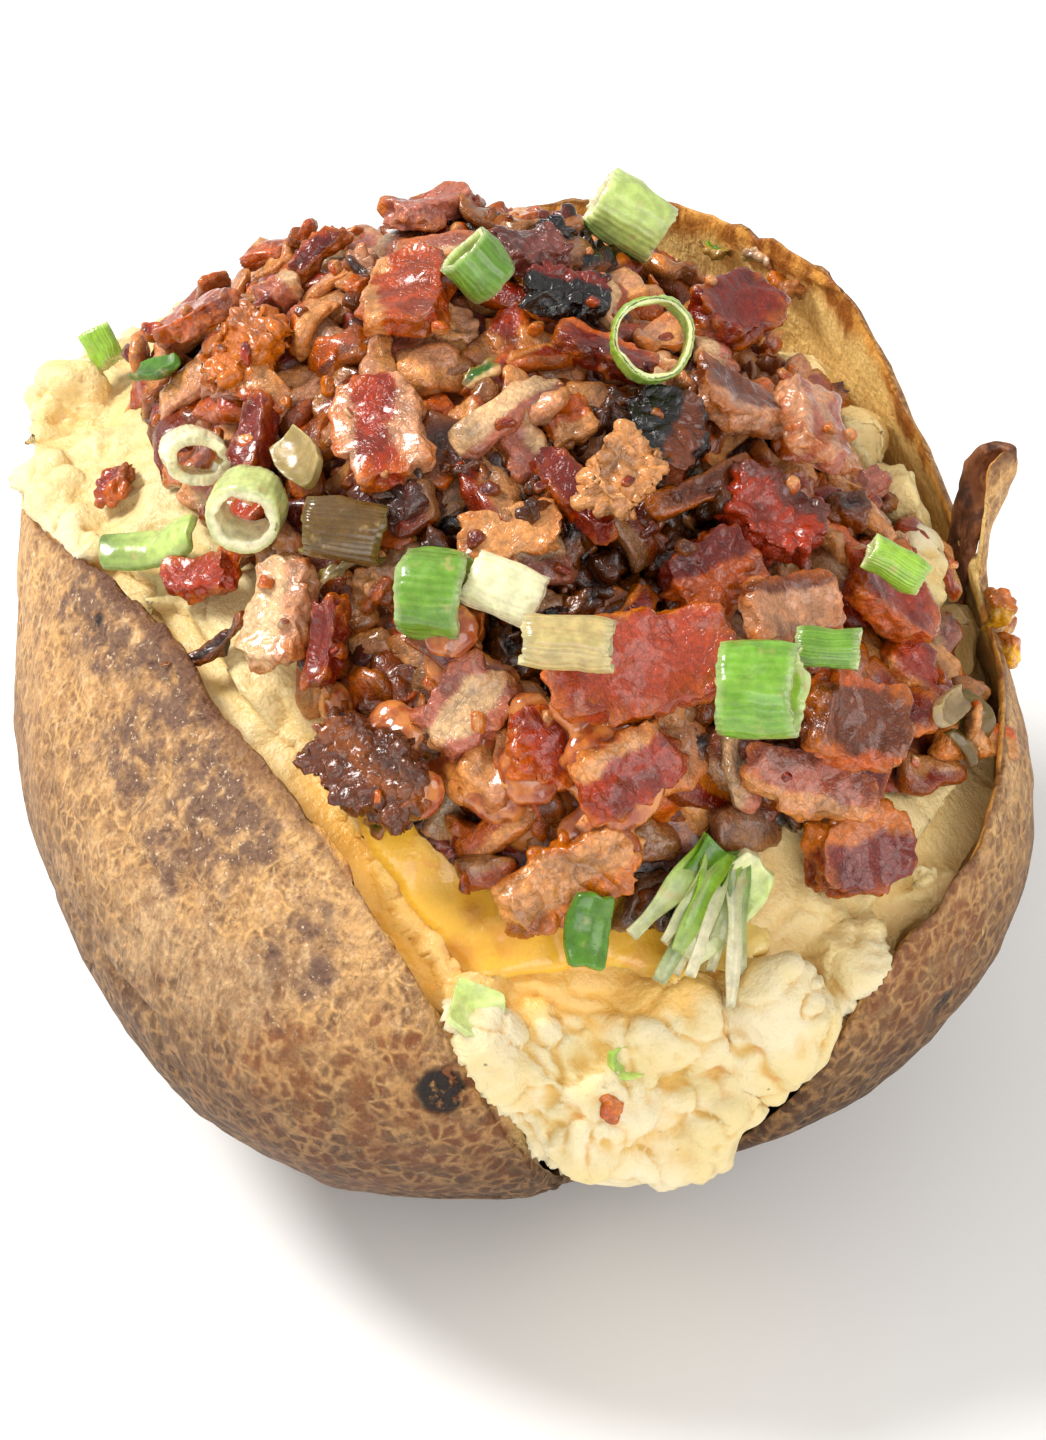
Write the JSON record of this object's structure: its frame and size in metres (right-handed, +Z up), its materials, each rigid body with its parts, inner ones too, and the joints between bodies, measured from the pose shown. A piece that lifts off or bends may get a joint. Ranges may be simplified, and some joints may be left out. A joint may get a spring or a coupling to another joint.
{
  "type": "baked potato",
  "caption": "Loaded baked potato in its jacket, split open and heaped with melted cheese, chopped bacon and scallions.",
  "frame": {"origin": "middle of the object's box in plan, on the surface that the potato rests on", "axes": "+X along the potato to its open end, where the flesh spills out; +Z up; the lower lip of the split is at -Y"},
  "size_m": [0.1116, 0.0982, 0.0907],
  "materials": {
    "skin": "dry, netted russet skin, baked to leathery brown, with darker patches and pits",
    "flesh": "moist, fluffed, creamy pale yellow",
    "melted_cheese": "glossy, greasy melted cheese",
    "bacon_heap": "dark brown, glossy, crumbly chopped bacon",
    "bacon": "glossy, crackled red-brown lean with golden fat",
    "scallion": "moist, ribbed green to cream"
  },
  "bodies": {
    "root": {"skin": "skin", "flesh": "flesh", "melted_cheese": "melted_cheese", "bacon_heap": "bacon_heap", "bacon_01": "bacon", "bacon_02": "bacon", "bacon_03": "bacon", "bacon_04": "bacon", "bacon_05": "bacon", "bacon_06": "bacon", "bacon_07": "bacon", "bacon_08": "bacon", "bacon_09": "bacon", "bacon_10": "bacon", "bacon_11": "bacon", "bacon_12": "bacon", "bacon_13": "bacon", "bacon_14": "bacon", "bacon_15": "bacon", "bacon_16": "bacon", "bacon_17": "bacon", "bacon_18": "bacon", "bacon_19": "bacon", "bacon_20": "bacon", "bacon_21": "bacon", "bacon_22": "bacon", "bacon_23": "bacon", "bacon_24": "bacon", "bacon_25": "bacon", "bacon_26": "bacon", "bacon_27": "bacon", "bacon_28": "bacon", "bacon_29": "bacon", "bacon_30": "bacon", "bacon_31": "bacon", "bacon_32": "bacon", "scallion_leaf_01": "scallion", "scallion_leaf_02": "scallion", "scallion_leaf_03": "scallion", "scallion_leaf_04": "scallion", "scallion_leaf_05": "scallion", "scallion_leaf_06": "scallion", "scallion_leaf_07": "scallion", "scallion_leaf_08": "scallion", "scallion_leaf_09": "scallion", "scallion_tube_01": "scallion", "scallion_tube_02": "scallion", "scallion_tube_03": "scallion", "scallion_tube_04": "scallion", "scallion_tube_05": "scallion", "scallion_tube_06": "scallion", "scallion_tube_07": "scallion", "scallion_tube_08": "scallion", "scallion_tube_09": "scallion", "scallion_tube_10": "scallion", "scallion_tube_11": "scallion", "scallion_tube_12": "scallion", "scallion_tube_13": "scallion"}
  },
  "joints": []
}
